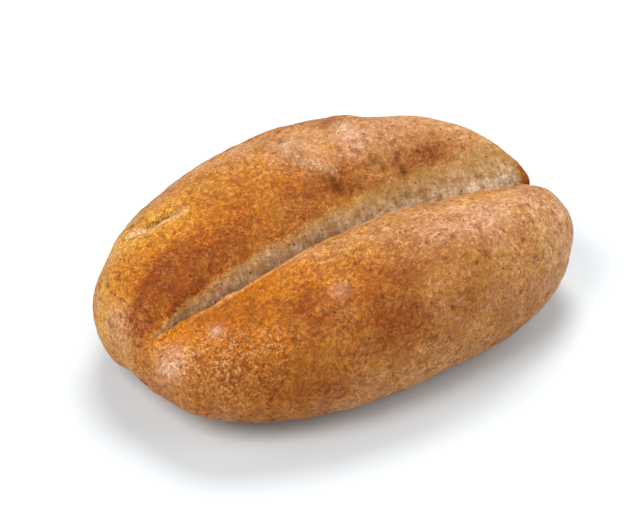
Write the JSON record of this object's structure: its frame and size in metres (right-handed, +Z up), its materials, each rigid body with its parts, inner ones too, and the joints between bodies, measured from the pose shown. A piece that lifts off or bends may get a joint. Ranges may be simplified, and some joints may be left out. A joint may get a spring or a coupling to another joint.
{
  "type": "bread roll",
  "caption": "Oblong brown bread roll with a glazed crust, one deep lengthwise crease between two rounded lobes, and a flat base.",
  "frame": {"origin": "centre of the bounding box, at the base the roll lies on", "axes": "+X along the roll and its crease, -Y towards the lower, narrower lobe, +Z up"},
  "size_m": [0.1276, 0.0914, 0.0458],
  "materials": {
    "crust": "satin glaze over a brown, finely grained baked crust"
  },
  "bodies": {
    "root": {"bread_roll": "crust"}
  },
  "joints": []
}
